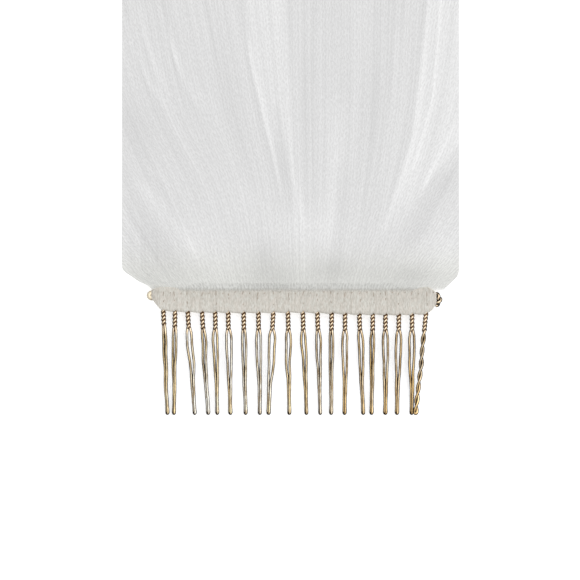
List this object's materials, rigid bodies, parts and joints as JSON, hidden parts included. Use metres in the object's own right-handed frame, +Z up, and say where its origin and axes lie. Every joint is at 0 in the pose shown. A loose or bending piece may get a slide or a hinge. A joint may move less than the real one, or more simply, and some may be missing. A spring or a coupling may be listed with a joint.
{
  "type": "bridal veil",
  "caption": "Bridal veil of soft net laid flat, gathered along its top edge onto a ribbon-bound wire hair comb with twisted loop teeth, and spread out in fan-like folds to a rounded hem.",
  "frame": {"origin": "middle of the laid veil's bounding box, on the surface it lies on", "axes": "+X along the comb to the right as the picture shows it, +Y from the comb to the hem, +Z up from the surface; the comb's teeth point to -Y"},
  "size_m": [0.52, 0.8, 0.0237],
  "materials": {
    "tulle": "fine soft white hexagonal net, see-through, matt",
    "ribbon": "ivory ribbed ribbon wound and stitched round the bar, low sheen",
    "gilt_wire": "pale champagne-gold plated wire, bright, darker in the twists"
  },
  "bodies": {
    "root": {"veil_tulle": "tulle", "comb_binding": "ribbon", "comb_bar": "gilt_wire", "tooth_01": "gilt_wire", "tooth_02": "gilt_wire", "tooth_03": "gilt_wire", "tooth_04": "gilt_wire", "tooth_05": "gilt_wire", "tooth_06": "gilt_wire", "tooth_07": "gilt_wire", "tooth_08": "gilt_wire", "tooth_09": "gilt_wire", "tooth_10": "gilt_wire", "tooth_11": "gilt_wire", "tooth_12": "gilt_wire", "tooth_13": "gilt_wire", "tooth_14": "gilt_wire", "tooth_15": "gilt_wire", "tooth_16": "gilt_wire", "tooth_17": "gilt_wire", "tooth_18": "gilt_wire", "tooth_19": "gilt_wire", "tooth_20": "gilt_wire"}
  },
  "joints": []
}
